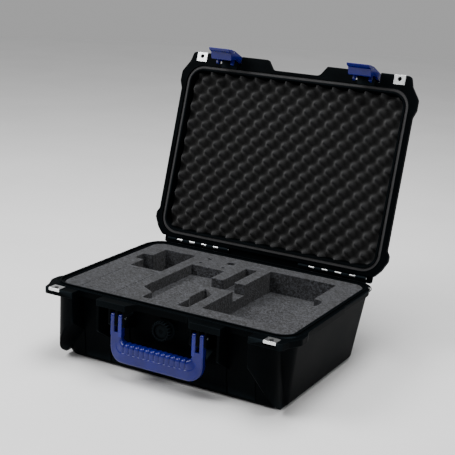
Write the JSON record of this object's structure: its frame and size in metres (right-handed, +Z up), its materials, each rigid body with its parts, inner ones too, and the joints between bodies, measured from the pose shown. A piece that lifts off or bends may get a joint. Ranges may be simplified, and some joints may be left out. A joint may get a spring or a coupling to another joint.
{
  "type": "hinged hard carrying case",
  "caption": "Rugged hinged carrying case with cut foam, egg-crate lid foam, swinging carry handle, draw latches, pressure valve and padlock plates.",
  "frame": {"origin": "middle of the base's underside, on the surface the case stands on", "axes": "+X to the right seen from the handle side, +Y from the handle side to the hinges, +Z up; rest pose has the lid open"},
  "size_m": [0.556, 0.5717, 0.5924],
  "materials": {
    "shell": "matte",
    "blue_plastic": "satin",
    "base_foam": "matte",
    "lid_foam": "matte",
    "rubber": "matte",
    "steel": "satin"
  },
  "bodies": {
    "base": {"base_shell": "shell", "hinge_pin_left": "steel", "hinge_pin_right": "steel", "base_foam": "base_foam", "base_foam_bottom": "base_foam", "foam_plug": "base_foam", "handle_pin_left": "steel", "handle_pin_right": "steel", "valve_body": "shell", "valve_seal": "rubber", "valve_nut": "shell", "padlock_plate_base_left": "steel", "padlock_plate_base_right": "steel"},
    "lid": {"lid_shell": "shell", "lid_gasket": "rubber", "lid_foam": "lid_foam", "padlock_plate_lid_left": "steel", "padlock_plate_lid_right": "steel"},
    "carry_handle": {"handle": "blue_plastic"},
    "latch_left": {"latch_lever_left": "blue_plastic", "latch_hook_left": "blue_plastic", "latch_pin_left": "steel", "latch_hook_pin_left": "steel"},
    "latch_right": {"latch_lever_right": "blue_plastic", "latch_hook_right": "blue_plastic", "latch_pin_right": "steel", "latch_hook_pin_right": "steel"},
    "valve_cap": {"valve_knob": "shell"}
  },
  "joints": [
    {"name": "lid_hinge", "type": "hinge", "parent": "base", "child": "lid", "pos_m": [0, 0.201, 0.157], "axis": [1, 0, 0], "range_deg": [0, 105.8]},
    {"name": "handle_swing", "type": "hinge", "parent": "base", "child": "carry_handle", "pos_m": [0, -0.21, 0.1225], "axis": [-1, 0, 0], "range_deg": [0, 100]},
    {"name": "latch_left_swing", "type": "hinge", "parent": "lid", "child": "latch_left", "pos_m": [-0.161, 0.32212, 0.54831], "axis": [-1, 0, 0], "range_deg": [-12, 78]},
    {"name": "latch_right_swing", "type": "hinge", "parent": "lid", "child": "latch_right", "pos_m": [0.161, 0.32212, 0.54831], "axis": [-1, 0, 0], "range_deg": [-12, 78]},
    {"name": "valve_turn", "type": "hinge", "parent": "base", "child": "valve_cap", "pos_m": [0, -0.19, 0.109], "axis": [0, -1, 0], "range_deg": [0, 180]}
  ]
}
